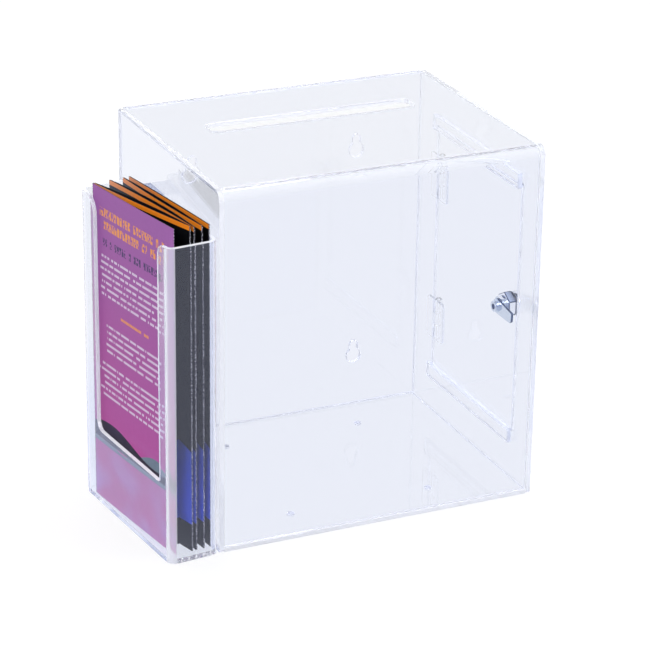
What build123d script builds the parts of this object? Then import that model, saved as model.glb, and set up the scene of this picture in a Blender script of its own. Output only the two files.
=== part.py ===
from build123d import *
import os
from math import cos, radians, sin

# Clear acrylic ballot box with a slotted top, a lockable side door and a leaflet pocket.
# Millimetres, +Z up. The origin is the centre of the box's footprint, on its underside.
# The front faces -Y, the door is on +X and the leaflet pocket is on -X.

# Box, outside sizes
box_width = 213.0
box_depth = 166.0
box_height = 232.5
sheet = 3.0
cement = 0.05
bend_radius = 7.0
corner_radius = 2.0

# Ballot slot in the top
slot_side_margin = 37.5
slot_width = 16.0
slot_corner = 4.0
slot_back_margin = 49.5

# Screw holes in the base
base_hole_radius = 2.1
base_hole_side_margin = 59.0
base_hole_front_margin = 28.5
base_hole_back_margin = 32.0

# Keyholes in the back panel
keyhole_side_margin = 49.0
keyhole_base_margin = 38.5
keyhole_top_margin = 50.5
keyhole_head_radius = 5.0
keyhole_neck_radius = 2.75
keyhole_drop = 7.75

# Door opening in the right side, and the door in it
opening_front_margin = 23.0
opening_back_margin = 28.0
opening_base_margin = 33.5
opening_top_margin = 31.0
opening_corner = 2.0
door_gap = 0.6

# Stop strips behind the door
stop_height = 10.0
stop_thickness = 3.0
stop_overlap = 3.0
stop_front_inset = 3.0
stop_back_reach = 4.0

# Butt hinges on the outside, at the door's back edge
hinge_height = 28.0
hinge_low_margin = 33.5
hinge_high_margin = 35.5
leaf_width = 11.0
leaf_thickness = 1.6
knuckle_radius = 2.4
knuckle_lift = 0.4
knuckle_gap = 0.3
pin_radius = 1.0
pin_clearance = 0.05
pin_head_radius = 1.8
pin_head_height = 0.8

# Cam lock near the door's front edge
lock_inset = 8.0
lock_rise = 1.5
flange_radius = 7.7
flange_thickness = 2.2
flange_round = 0.6
barrel_radius = 6.0
barrel_flats = 10.4
barrel_length = 11.4
thread_pitch = 1.0
thread_depth = 0.45
barrel_fit = 0.1
nut_across_flats = 15.0
nut_thickness = 5.0
plug_radius = 4.0
plug_collar_radius = 5.2
plug_collar_height = 1.4
plug_recess = 0.2
plug_clearance = 0.05
keyway_width = 1.1
keyway_height = 6.0
keyway_depth = 8.0
tail_width = 4.6
tail_fit = 0.05

# Cam and the screw that holds it
cam_gap = 0.1
cam_thickness = 1.6
cam_reach = 19.4
cam_root_radius = 4.7
cam_tip_half_width = 3.5
cam_tip_chamfer = 1.4
cam_droop = 4.6
washer_radius = 4.0
washer_thickness = 0.5
screw_head_radius = 3.5
screw_head_height = 1.8
screw_socket_flats = 3.5
screw_socket_depth = 1.1
screw_radius = 1.5
screw_length = 4.0

# Leaflet pocket, in its own frame: width runs back from its front end, depth runs away from the box
pocket_depth = 33.5
pocket_wall = 2.5
pocket_corner = 6.0
pocket_foot_round = 2.2
pocket_yaw = 5.5
pocket_lift = 0.5
pocket_standoff = 0.3
pocket_overhang = 1.0
lip_height = 50.0
lip_near_corner = 1.5
lip_far_corner = 6.0
near_flange_width = 14.0
far_flange_width = 20.0
near_flange_round = 7.0
far_flange_round = 12.0

# Tapered blocks between the pocket and the box
block_near_margin = 8.0
block_far_margin = 7.0
block_top_height = 32.0
block_top_margin = 2.0
block_low_height = 17.5
block_low_margin = 5.0

# Leaflets, each a folded sheet standing on the pocket's floor
leaflet_width = 99.0
leaflet_height = 210.0
leaflet_seat = 0.1
leaflet_rise = 9.6
leaflet_near_gap = 4.5
leaflet_far_gap = 10.5
page_thickness = 0.5
fold_thickness = 0.8
fold_radius = 0.7

# Where each leaflet's ends stand across the pocket's clear depth, and its bow, as shares of that depth:
# front end, back end, bow
open_cover_shares = (0.818, 0.968, 0.012)
open_back_share = 0.453
open_back_bow_share = 0.030
closed_leaflet_shares = {
    "leaflet_2": (0.361, 0.572, -0.030),
    "leaflet_3": (0.182, 0.253, 0.030),
    "leaflet_4": (0.020, 0.109, -0.010),
}

# How far a cut runs past the face that it goes through
overrun = 1.0

# Places that several pieces share
left = -box_width / 2
right = box_width / 2
front = -box_depth / 2
back = box_depth / 2
inner_width = box_width - 2 * (sheet + cement)
slot_length = box_width - 2 * slot_side_margin
base_hole_pitch_x = box_width - 2 * base_hole_side_margin
base_hole_pitch_y = box_depth - base_hole_front_margin - base_hole_back_margin
keyhole_pitch_x = box_width - 2 * keyhole_side_margin
keyhole_pitch_z = box_height - keyhole_base_margin - keyhole_top_margin
opening_depth = box_depth - opening_front_margin - opening_back_margin
opening_height = box_height - opening_base_margin - opening_top_margin
opening_front = front + opening_front_margin
opening_back = opening_front + opening_depth
opening_y = (opening_front + opening_back) / 2
opening_z = opening_base_margin + opening_height / 2
door_depth = opening_depth - 2 * door_gap
door_height = opening_height - 2 * door_gap
hinge_x = right + knuckle_lift + knuckle_radius
hinge_y = opening_back - door_gap / 2
lock_y = opening_front + door_gap + lock_inset
lock_z = opening_z + lock_rise
lock_place = (lock_y, lock_z)
yaw_sin = sin(radians(pocket_yaw))
yaw_cos = cos(radians(pocket_yaw))
pocket_width = leaflet_width + leaflet_near_gap + leaflet_far_gap + 2 * pocket_wall
pocket_height = pocket_wall + leaflet_seat + leaflet_height - leaflet_rise
pocket_x = left - pocket_standoff
pocket_y = front - pocket_overhang

os.makedirs("parts", exist_ok=True)


def save(part, name):
    """Label a finished piece and write it to its STEP file."""
    part.label = name
    export_step(part, f"parts/{name}.step")


# Box panels

with BuildPart() as front_top_shell:
    with BuildSketch(Plane.YZ.offset(-inner_width / 2)):
        with BuildLine():
            Polyline(
                (front, sheet + cement),
                (front, box_height),
                (back, box_height),
                (back, box_height - sheet),
                (front + sheet, box_height - sheet),
                (front + sheet, sheet + cement),
                close=True,
            )
        make_face()
    extrude(amount=inner_width)
    bend_edges = front_top_shell.edges().filter_by(Axis.X).group_by(Axis.Y)
    outer_bend = bend_edges[0].sort_by(Axis.Z)[-1]
    inner_bend = bend_edges[1].sort_by(Axis.Z)[-1]
    fillet(outer_bend, radius=bend_radius)
    fillet(
        front_top_shell.edges().filter_by(Axis.X).sort_by_distance(inner_bend.center())[0],
        radius=bend_radius - sheet,
    )
    with BuildSketch(Plane.XY.offset(box_height + overrun)):
        with Locations((0, back - slot_back_margin - slot_width / 2)):
            RectangleRounded(slot_length, slot_width, slot_corner)
    extrude(amount=-(sheet + 2 * overrun), mode=Mode.SUBTRACT)
save(front_top_shell.part, "front_top_shell")

with BuildPart() as base_panel:
    with BuildSketch(Plane.XY):
        Rectangle(inner_width, box_depth)
        with Locations((0, front + base_hole_front_margin + base_hole_pitch_y / 2)):
            with GridLocations(base_hole_pitch_x, base_hole_pitch_y, 2, 2):
                Circle(base_hole_radius, mode=Mode.SUBTRACT)
    extrude(amount=sheet)
save(base_panel.part, "base_panel")

with BuildPart() as back_panel:
    panel_low = sheet + cement
    panel_high = box_height - sheet - cement
    with BuildSketch(Plane.XZ.offset(-back)):
        with Locations((0, (panel_low + panel_high) / 2)):
            Rectangle(inner_width, panel_high - panel_low)
        with Locations((0, keyhole_base_margin + keyhole_pitch_z / 2)):
            with GridLocations(keyhole_pitch_x, keyhole_pitch_z, 2, 2):
                Circle(keyhole_head_radius, mode=Mode.SUBTRACT)
                with Locations((0, keyhole_drop / 2)):
                    SlotCenterToCenter(keyhole_drop, 2 * keyhole_neck_radius, rotation=90, mode=Mode.SUBTRACT)
    extrude(amount=sheet)
save(back_panel.part, "back_panel")


def side_outline(x):
    """Outline of a side panel on the plane at x, with its front top corner following the bend."""
    with BuildSketch(Plane.YZ.offset(x)) as outline:
        Rectangle(box_depth, box_height, align=(Align.CENTER, Align.MIN))
        top_corners = outline.vertices().group_by(Axis.Y)[-1].sort_by(Axis.X)
        base_corners = outline.vertices().group_by(Axis.Y)[0]
        fillet([top_corners[-1], *base_corners], radius=corner_radius)
        fillet(outline.vertices().group_by(Axis.Y)[-1].sort_by(Axis.X)[0], radius=bend_radius)
    return outline.sketch


left_outline = side_outline(left)
with BuildPart() as left_side_panel:
    extrude(left_outline, amount=sheet)
save(left_side_panel.part, "left_side_panel")

right_outline = side_outline(right - sheet)
with BuildPart() as right_side_frame:
    extrude(right_outline, amount=sheet)
    with BuildSketch(Plane.YZ.offset(right + overrun)):
        with Locations((opening_y, opening_z)):
            RectangleRounded(opening_depth, opening_height, opening_corner)
    extrude(amount=-(sheet + 2 * overrun), mode=Mode.SUBTRACT)
save(right_side_frame.part, "right_side_frame")

# Door with its stop strips

stop_front = opening_front + stop_front_inset
stop_back = opening_back + stop_back_reach
stop_levels = {
    "door_stop_bottom": opening_base_margin + stop_overlap - stop_height / 2,
    "door_stop_top": opening_base_margin + opening_height - stop_overlap + stop_height / 2,
}
for stop_name, stop_z in stop_levels.items():
    with BuildPart() as door_stop:
        with BuildSketch(Plane.YZ.offset(right - sheet - cement)):
            with Locations(((stop_front + stop_back) / 2, stop_z)):
                Rectangle(stop_back - stop_front, stop_height)
        extrude(amount=-stop_thickness)
    save(door_stop.part, stop_name)

with BuildPart() as door_panel:
    with BuildSketch(Plane.YZ.offset(right - sheet)):
        with Locations((opening_y, opening_z)):
            RectangleRounded(door_depth, door_height, opening_corner - door_gap)
        with BuildSketch(mode=Mode.SUBTRACT):
            with Locations(lock_place):
                Circle(barrel_radius + barrel_fit)
                Rectangle(
                    2 * barrel_radius + 2 * barrel_fit + overrun,
                    barrel_flats + 2 * barrel_fit,
                    mode=Mode.INTERSECT,
                )
    extrude(amount=sheet)
save(door_panel.part, "door_panel")

# Hinges: the frame leaf has the two outer knuckles, the door leaf the middle one

knuckle_height = (hinge_height - 2 * knuckle_gap) / 3
knuckle_step = knuckle_height + knuckle_gap
knuckle_reach = knuckle_radius + knuckle_lift


def make_leaf(side, bottom, knuckle_steps):
    """One half of a hinge: side is 1 on the frame and -1 on the door."""
    with BuildPart() as leaf:
        with BuildSketch(Plane.XY.offset(bottom)):
            with Locations((right + leaf_thickness / 2, hinge_y + side * (knuckle_reach + leaf_width) / 2)):
                Rectangle(leaf_thickness, leaf_width - knuckle_reach)
        extrude(amount=hinge_height)
        fillet(leaf.edges().filter_by(Axis.X).sort_by(Axis.Y)[:: side][-2:], radius=leaf_thickness)
        for step in knuckle_steps:
            with BuildSketch(Plane.XY.offset(bottom + step * knuckle_step)):
                with Locations((right + leaf_thickness / 2, hinge_y + side * knuckle_reach / 2)):
                    Rectangle(leaf_thickness, knuckle_reach)
                with Locations((hinge_x, hinge_y)):
                    Circle(knuckle_radius)
            extrude(amount=knuckle_height)
        with BuildSketch(Plane.XY.offset(bottom - overrun)):
            with Locations((hinge_x, hinge_y)):
                Circle(pin_radius + pin_clearance)
        extrude(amount=hinge_height + 2 * overrun, mode=Mode.SUBTRACT)
    return leaf.part


hinge_levels = {
    "lower": opening_base_margin + hinge_low_margin,
    "upper": opening_base_margin + opening_height - hinge_high_margin,
}
for hinge_name, hinge_z in hinge_levels.items():
    hinge_bottom = hinge_z - hinge_height / 2
    save(make_leaf(1, hinge_bottom, (0, 2)), f"hinge_{hinge_name}_frame_leaf")
    save(make_leaf(-1, hinge_bottom, (1,)), f"hinge_{hinge_name}_door_leaf")
    with BuildPart() as hinge_pin:
        with BuildSketch(Plane.XY.offset(hinge_bottom)):
            with Locations((hinge_x, hinge_y)):
                Circle(pin_radius)
        extrude(amount=hinge_height)
        with BuildSketch(Plane.XY.offset(hinge_bottom + hinge_height)):
            with Locations((hinge_x, hinge_y)):
                Circle(pin_head_radius)
        extrude(amount=pin_head_height)
        fillet(hinge_pin.edges().sort_by(Axis.Z)[-1], radius=pin_head_height / 2)
    save(hinge_pin.part, f"hinge_{hinge_name}_pin")

# Cam lock: depths are measured inwards from the door's outer face

cam_direction = (0, -cos(radians(cam_droop)), -sin(radians(cam_droop)))
cam_depth = barrel_length + cam_gap
washer_depth = cam_depth + cam_thickness
screw_depth = washer_depth + washer_thickness


def lock_plane(depth):
    """Plane square to the lock's axis, its X along the cam and its normal pointing into the box."""
    return Plane(origin=(right - depth, lock_y, lock_z), x_dir=cam_direction, z_dir=(-1, 0, 0))


with BuildPart() as lock_housing:
    with BuildSketch(Plane.YZ.offset(right)):
        with Locations(lock_place):
            Circle(flange_radius)
    extrude(amount=flange_thickness)
    fillet(lock_housing.edges().sort_by(Axis.X)[-1], radius=flange_round)
    with BuildSketch(Plane(origin=(right, lock_y, lock_z), x_dir=(-1, 0, 0), z_dir=(0, -1, 0))):
        with BuildLine():
            turns = int((barrel_length - sheet) / thread_pitch)
            crest = [(0, 0), (0, barrel_radius)]
            for turn in range(turns):
                start = barrel_length - (turns - turn) * thread_pitch
                crest.append((start, barrel_radius))
                crest.append((start + thread_pitch / 2, barrel_radius - thread_depth))
            Polyline(*crest, (barrel_length, barrel_radius), (barrel_length, 0), close=True)
        make_face()
    revolve(axis=Axis((right, lock_y, lock_z), (1, 0, 0)))
    with BuildSketch(Plane.YZ.offset(right)):
        for flat_side in (-1, 1):
            with Locations((lock_y, lock_z + flat_side * (barrel_flats / 2 + barrel_radius))):
                Rectangle(4 * barrel_radius, 2 * barrel_radius)
    extrude(amount=-(barrel_length + overrun), mode=Mode.SUBTRACT)
    with BuildSketch(Plane.YZ.offset(right + flange_thickness + overrun)):
        with Locations(lock_place):
            Circle(plug_radius + plug_clearance)
    extrude(amount=-(flange_thickness + barrel_length + 2 * overrun), mode=Mode.SUBTRACT)
    with BuildSketch(Plane.YZ.offset(right + flange_thickness + overrun)):
        with Locations(lock_place):
            Circle(plug_collar_radius + plug_clearance)
    extrude(amount=-(plug_recess + plug_collar_height + plug_clearance + overrun), mode=Mode.SUBTRACT)
save(lock_housing.part, "lock_housing")

with BuildPart() as lock_nut:
    with BuildSketch(Plane.YZ.offset(right - sheet)):
        with Locations(lock_place):
            RegularPolygon(nut_across_flats / 2, 6, major_radius=False, rotation=30)
            Circle(barrel_radius + barrel_fit, mode=Mode.SUBTRACT)
    extrude(amount=-nut_thickness)
    with BuildSketch(Plane(origin=(right - sheet, lock_y, lock_z), x_dir=(-1, 0, 0), z_dir=(0, -1, 0))):
        with BuildLine():
            nut_corner = nut_across_flats / 2 + barrel_fit
            nut_slope = nut_thickness / 5
            Polyline(
                (0, 0),
                (0, nut_corner),
                (nut_slope, nut_corner + 2 * nut_slope),
                (nut_thickness - nut_slope, nut_corner + 2 * nut_slope),
                (nut_thickness, nut_corner),
                (nut_thickness, 0),
                close=True,
            )
        make_face()
    revolve(axis=Axis((right, lock_y, lock_z), (1, 0, 0)), mode=Mode.INTERSECT)
save(lock_nut.part, "lock_nut")

with BuildPart() as lock_plug:
    plug_face = right + flange_thickness - plug_recess
    with BuildSketch(Plane.YZ.offset(plug_face)):
        with Locations(lock_place):
            Circle(plug_collar_radius)
    extrude(amount=-plug_collar_height)
    with BuildSketch(Plane.YZ.offset(plug_face)):
        with Locations(lock_place):
            Circle(plug_radius)
    extrude(amount=-(plug_face - right + cam_depth))
    with BuildSketch(lock_plane(cam_depth)):
        Rectangle(tail_width, tail_width)
    extrude(amount=cam_thickness - tail_fit)
    with BuildSketch(Plane.YZ.offset(plug_face)):
        with Locations(lock_place):
            Rectangle(keyway_width, keyway_height)
    extrude(amount=-keyway_depth, mode=Mode.SUBTRACT)
    with BuildSketch(lock_plane(washer_depth)):
        Circle(screw_radius + plug_clearance)
    extrude(amount=-(screw_length + overrun - washer_thickness), mode=Mode.SUBTRACT)
save(lock_plug.part, "lock_plug")

with BuildPart() as lock_cam:
    with BuildSketch(lock_plane(cam_depth)):
        Circle(cam_root_radius)
        with BuildLine():
            Polyline(
                (0, cam_root_radius),
                (cam_reach, cam_tip_half_width),
                (cam_reach, cam_tip_chamfer - cam_tip_half_width),
                (cam_reach - cam_tip_chamfer, -cam_tip_half_width),
                (0, -cam_root_radius),
                close=True,
            )
        make_face()
        Rectangle(tail_width + 2 * tail_fit, tail_width + 2 * tail_fit, mode=Mode.SUBTRACT)
    extrude(amount=cam_thickness)
save(lock_cam.part, "lock_cam")

with BuildPart() as cam_washer:
    with BuildSketch(lock_plane(washer_depth)):
        Circle(washer_radius)
        Circle(screw_radius + plug_clearance, mode=Mode.SUBTRACT)
    extrude(amount=washer_thickness)
save(cam_washer.part, "cam_washer")

with BuildPart() as cam_screw:
    with BuildSketch(lock_plane(screw_depth)):
        Circle(screw_head_radius)
    extrude(amount=screw_head_height)
    fillet(cam_screw.edges().sort_by(Axis.X)[0], radius=screw_head_height / 4)
    with BuildSketch(lock_plane(screw_depth + screw_head_height)):
        RegularPolygon(screw_socket_flats / 2, 6, major_radius=False)
    extrude(amount=-screw_socket_depth, mode=Mode.SUBTRACT)
    with BuildSketch(lock_plane(screw_depth)):
        Circle(screw_radius)
    extrude(amount=-screw_length)
save(cam_screw.part, "cam_screw")

# Leaflet pocket

pocket_floor = Plane(
    origin=(pocket_x, pocket_y, pocket_lift), x_dir=(-yaw_sin, yaw_cos, 0), z_dir=(0, 0, 1)
)
pocket_face = Plane(
    origin=(pocket_x, pocket_y, pocket_lift), x_dir=(-yaw_sin, yaw_cos, 0), z_dir=(yaw_cos, yaw_sin, 0)
)
pocket_middle = (pocket_width / 2, pocket_depth / 2)

with BuildPart() as brochure_pocket:
    with BuildSketch(pocket_floor):
        with Locations(pocket_middle):
            RectangleRounded(pocket_width, pocket_depth, pocket_corner)
    extrude(amount=pocket_height)
    fillet(brochure_pocket.faces().sort_by(Axis.Z)[0].edges(), radius=pocket_foot_round)
    with BuildSketch(pocket_floor.offset(pocket_wall)):
        with Locations(pocket_middle):
            RectangleRounded(
                pocket_width - 2 * pocket_wall,
                pocket_depth - 2 * pocket_wall,
                pocket_corner - pocket_wall,
            )
    extrude(amount=pocket_height, mode=Mode.SUBTRACT)
    with BuildSketch(pocket_face.offset(-(pocket_depth + overrun))):
        with BuildLine():
            cut_near = near_flange_width
            cut_far = pocket_width - far_flange_width
            rim_near = cut_near - near_flange_round - overrun
            rim_far = cut_far + far_flange_round + overrun
            cut_rim = FilletPolyline(
                (rim_near, pocket_height),
                (cut_near, pocket_height),
                (cut_near, lip_height),
                (cut_far, lip_height),
                (cut_far, pocket_height),
                (rim_far, pocket_height),
                radius=[near_flange_round, lip_near_corner, lip_far_corner, far_flange_round],
            )
            Polyline(
                cut_rim @ 1,
                (rim_far, pocket_height + overrun),
                (rim_near, pocket_height + overrun),
                cut_rim @ 0,
            )
        make_face()
    extrude(amount=pocket_wall + 2 * overrun, mode=Mode.SUBTRACT)
save(brochure_pocket.part, "brochure_pocket")


def pocket_back_point(along):
    """World X and Y of a point on the pocket's back face, that far along from its front end."""
    return (pocket_x - along * yaw_sin, pocket_y + along * yaw_cos)


block_levels = {
    "pocket_block_bottom": (block_low_margin, block_low_height),
    "pocket_block_top": (pocket_height - block_top_margin - block_top_height, block_top_height),
}
for block_name, (block_z, block_height) in block_levels.items():
    near_x, near_y = pocket_back_point(block_near_margin)
    far_x, far_y = pocket_back_point(pocket_width - block_far_margin)
    with BuildPart() as pocket_block:
        with BuildSketch(Plane.XY.offset(pocket_lift + block_z)):
            with BuildLine():
                Polyline(
                    (left - cement, near_y),
                    (near_x + cement, near_y),
                    (far_x + cement, far_y),
                    (left - cement, far_y),
                    close=True,
                )
            make_face()
        extrude(amount=block_height)
    save(pocket_block.part, block_name)

# Leaflets, drawn in plan on the pocket's floor and extruded upwards

leaflet_floor = pocket_floor.offset(pocket_wall + leaflet_seat)
leaflet_start = pocket_wall + leaflet_near_gap
leaflet_end = leaflet_start + leaflet_width
clear_depth = pocket_depth - 2 * pocket_wall


def across(share):
    """Distance from the pocket's back face at that share of its clear depth."""
    return pocket_wall + share * clear_depth


with BuildPart() as leaflet_1:
    cover_front, cover_back, cover_bow = open_cover_shares
    with BuildSketch(leaflet_floor):
        with BuildLine():
            fold_start = (leaflet_end - fold_radius, across(cover_back))
            fold_end = (leaflet_end - fold_radius, across(cover_back) - 2 * fold_radius)
            ThreePointArc(
                (leaflet_start, across(cover_front)),
                (
                    (leaflet_start + leaflet_end) / 2,
                    across((cover_front + cover_back) / 2 + cover_bow),
                ),
                fold_start,
            )
            ThreePointArc(fold_start, (leaflet_end, across(cover_back) - fold_radius), fold_end)
            ThreePointArc(
                fold_end,
                (
                    (leaflet_start + leaflet_end) / 2,
                    across((open_back_share + cover_back) / 2 + open_back_bow_share) - fold_radius,
                ),
                (leaflet_start, across(open_back_share)),
            )
        trace(line_width=page_thickness)
    extrude(amount=leaflet_height)
save(leaflet_1.part, "leaflet_1")

for leaflet_name, (front_share, back_share, bow_share) in closed_leaflet_shares.items():
    with BuildPart() as leaflet:
        with BuildSketch(leaflet_floor):
            with BuildLine():
                ThreePointArc(
                    (leaflet_start, across(front_share)),
                    (
                        (leaflet_start + leaflet_end) / 2,
                        across((front_share + back_share) / 2 + bow_share),
                    ),
                    (leaflet_end, across(back_share)),
                )
            trace(line_width=fold_thickness)
        extrude(amount=leaflet_height)
    save(leaflet.part, leaflet_name)
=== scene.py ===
"""Looks of a clear acrylic ballot box with a side door and a leaflet pocket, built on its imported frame."""

import logging
from collections.abc import Callable, Sequence
from dataclasses import dataclass
from enum import IntEnum
from functools import partial
from math import atan2, cos, hypot, pi, radians, sin

import bmesh
import bpy
from bmesh.types import BMEdge, BMesh, BMFace, BMVert
from bpy.types import Material, Node, NodeSocket, NodeTree, Object
from mathutils import Matrix, Vector

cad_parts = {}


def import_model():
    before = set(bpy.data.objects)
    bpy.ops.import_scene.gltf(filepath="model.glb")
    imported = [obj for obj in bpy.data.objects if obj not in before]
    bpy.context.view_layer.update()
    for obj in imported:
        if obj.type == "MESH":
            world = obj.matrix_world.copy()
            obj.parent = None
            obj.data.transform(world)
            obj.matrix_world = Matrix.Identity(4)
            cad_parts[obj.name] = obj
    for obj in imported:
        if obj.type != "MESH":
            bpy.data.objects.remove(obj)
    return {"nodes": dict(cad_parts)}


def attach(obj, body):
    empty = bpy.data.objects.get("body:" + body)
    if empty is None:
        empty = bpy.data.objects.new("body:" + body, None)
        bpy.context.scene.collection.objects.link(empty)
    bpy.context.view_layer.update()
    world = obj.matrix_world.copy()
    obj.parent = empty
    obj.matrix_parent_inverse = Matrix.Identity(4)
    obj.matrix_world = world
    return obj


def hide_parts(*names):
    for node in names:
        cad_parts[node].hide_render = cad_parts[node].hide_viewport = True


log = logging.getLogger("ballot_box")

Point = tuple[float, float]
Triple = tuple[float, float, float]
Outline = Sequence[Point]
Feed = Node | NodeSocket
Add = Callable[..., Node]  # add_node for one tree

MM = 0.001
WELD = 1e-4  # points closer than this, in millimetres, are one point
SLACK = 0.1  # allowance, in millimetres, when faces and edges are picked by their place
LEVEL = 0.99  # a face is square to an axis when this much of its normal runs along it
STEEP = 0.5  # a face is a side wall when less of its normal than this runs along its piece's axis
CORNER = 50.0  # degrees by which a sheet's edge turns, at the least
FINE_CORNER = 35.0  # the same on small pieces, whose chamfers show as well
PAGE_UNIT = 100.0  # millimetres of page in one unit of its UV map
LEAFLET = (99.0, 210.0)  # width and height of a leaflet
LOCK_AXIS = (-51.4, 119.0)  # where the lock's axis passes the door
DOOR_FACE = 106.5  # X of the door's outer face
WHITE = (1.0, 1.0, 1.0, 1.0)


def linear(code: str) -> tuple[float, float, float, float]:
    """Turn an sRGB hex colour into linear RGBA.

    Args:
        code: six hex digits with a leading hash.

    Returns:
        Linear red, green and blue with an alpha of one.
    """
    channels = [int(code[i : i + 2], 16) / 255 for i in (1, 3, 5)]
    red, green, blue = (c / 12.92 if c <= 0.04045 else ((c + 0.055) / 1.055) ** 2.4 for c in channels)
    return red, green, blue, 1.0


def add_node(tree: NodeTree, kind: str, inputs: dict | Sequence = (), **settings: object) -> Node:
    """Add one node to a tree with its settings and links.

    Args:
        tree: node tree that gets the node.
        kind: Blender's node type, less its opening ShaderNode.
        inputs: by input name or in the inputs' order, each a plain value, an output socket, or a node that
            feeds it from its first output in use.
        settings: attributes of the node.

    Returns:
        The new node.
    """
    node = tree.nodes.new("ShaderNode" + kind)
    for name, value in settings.items():
        setattr(node, name, value)
    for name, value in inputs.items() if isinstance(inputs, dict) else enumerate(inputs):
        if isinstance(value, Node):
            value = next(output for output in value.outputs if output.enabled)
        if isinstance(value, NodeSocket):
            tree.links.new(value, node.inputs[name])
        else:
            node.inputs[name].default_value = value
    return node


# Outlines and meshes, in millimetres


def arc(centre: Point, radius: float, start: float, sweep: float, steps: int) -> list[Point]:
    """Points along an arc, from its start angle through its sweep."""
    turns = [start + sweep * step / steps for step in range(steps + 1)]
    return [(centre[0] + radius * cos(turn), centre[1] + radius * sin(turn)) for turn in turns]


def ring(radius: float, steps: int = 48, centre: Point = (0.0, 0.0), start: float = 0.0) -> list[Point]:
    """Points of a circle, or of a hexagon where it has six steps."""
    return arc(centre, radius, start, 2 * pi, steps)[:-1]


def rounded_box(centre: Point, size: Point, radii: Sequence[float], steps: int = 6) -> list[Point]:
    """Outline of a rectangle with rounded corners, counterclockwise.

    Args:
        centre: its middle.
        size: its width and height.
        radii: radius of each corner, from the low left one on.
        steps: chords in each corner.

    Returns:
        The points of the outline.
    """
    points: list[Point] = []
    signs = ((-1, -1), (1, -1), (1, 1), (-1, 1))
    for quarter, ((right, up), radius) in enumerate(zip(signs, radii)):
        middle = (centre[0] + right * (size[0] / 2 - radius), centre[1] + up * (size[1] / 2 - radius))
        points += arc(middle, radius, pi + quarter * pi / 2, pi / 2, steps) if radius else [middle]
    return points


def axes(origin: Triple, x_axis: Triple, y_axis: Triple) -> Matrix:
    """Matrix that places a local drawing in millimetres.

    Args:
        origin: where the drawing's origin goes.
        x_axis: direction of the drawing's X.
        y_axis: direction of the drawing's Y.

    Returns:
        The placing matrix, its Z square to both axes.
    """
    x, y = Vector(x_axis).normalized(), Vector(y_axis).normalized()
    matrix = Matrix((x, y, x.cross(y))).transposed().to_4x4()
    matrix.translation = Vector(origin)
    return matrix


def turned_edges(mesh: BMesh, least: float = CORNER) -> list[BMEdge]:
    """Edges whose two faces meet at that many degrees or more."""
    return [e for e in mesh.edges if e.is_manifold and e.calc_face_angle(0) > radians(least)]


def soften(mesh: BMesh, edges: Sequence[BMEdge], width: float, steps: int = 2) -> list[BMFace]:
    """Round the given edges.

    Args:
        mesh: mesh that holds the edges.
        edges: edges to round.
        width: how far the rounding reaches on each side, in millimetres.
        steps: faces across each rounding.

    Returns:
        The new faces.
    """
    made = bmesh.ops.bevel(
        mesh, geom=list(edges), offset=width, offset_type="OFFSET", affect="EDGES", segments=steps,
        profile=0.5, material=-1, clamp_overlap=True,
    )
    return made["faces"]


def split(mesh: BMesh, spot: Triple, square: Triple, clear: bool = False) -> list[BMEdge]:
    """Cut a mesh along a plane.

    Args:
        mesh: mesh to cut.
        spot: a point of the plane.
        square: direction square to the plane.
        clear: whether what lies beyond the plane goes.

    Returns:
        The edges along the cut.
    """
    cut = bmesh.ops.bisect_plane(
        mesh, geom=[*mesh.verts, *mesh.edges, *mesh.faces], dist=WELD, plane_co=spot, plane_no=square,
        clear_outer=clear,
    )
    return [part for part in cut["geom_cut"] if isinstance(part, BMEdge)]


def put_in_slots(mesh: BMesh, picked: Callable[[BMFace], bool], others: int = 0, slot: int = 1) -> BMesh:
    """Put the faces that a rule picks in one material slot and the others in another.

    Args:
        mesh: mesh whose faces are sorted.
        picked: rule that says whether a face is picked.
        others: slot of the faces that aren't.
        slot: slot of the faces that are.

    Returns:
        The same mesh.
    """
    for face in mesh.faces:
        face.material_index = slot if picked(face) else others
    return mesh


def hole_wall(radius: float) -> Callable[[BMFace], bool]:
    """Make a test for the walls of a hole round a piece's axis.

    Args:
        radius: how far from the axis the hole reaches.

    Returns:
        The test.
    """
    return lambda face: hypot(*face.calc_center_median().xy) < radius + SLACK and abs(face.normal.z) < STEEP


def raised(mesh: BMesh, height: float) -> BMesh:
    """Lift a whole mesh along its own Z axis, and give it back."""
    bmesh.ops.translate(mesh, verts=list(mesh.verts), vec=(0, 0, height))
    return mesh


def plate(
    outline: Outline, thickness: float, holes: Sequence[Outline] = (), edge: float = 0.0,
    slots: tuple[int, int] = (0, 1),
) -> BMesh:
    """Flat sheet cut to an outline, lying on z = 0.

    Args:
        outline: outer outline.
        thickness: sheet thickness.
        holes: outlines of the holes through it.
        edge: size of the softened edge, or nothing for a sharp one.
        slots: material slots of its faces and of its edges.

    Returns:
        The sheet's mesh.
    """
    mesh = bmesh.new()
    rim: list[BMEdge] = []
    for loop in (outline, *holes):
        points = [mesh.verts.new((x, y, 0)) for x, y in loop]
        rim += [mesh.edges.new(pair) for pair in zip(points, points[1:] + points[:1])]
    bmesh.ops.triangle_fill(mesh, use_beauty=True, use_dissolve=False, edges=rim, normal=(0, 0, 1))
    made = bmesh.ops.extrude_face_region(mesh, geom=list(mesh.faces), use_keep_orig=True)
    upper = [point for point in made["geom"] if isinstance(point, BMVert)]
    bmesh.ops.translate(mesh, verts=upper, vec=(0, 0, thickness))
    bmesh.ops.recalc_face_normals(mesh, faces=list(mesh.faces))
    if edge:
        soften(mesh, turned_edges(mesh), edge)
    return put_in_slots(mesh, lambda face: abs(face.normal.z) <= LEVEL, *slots)


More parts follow.
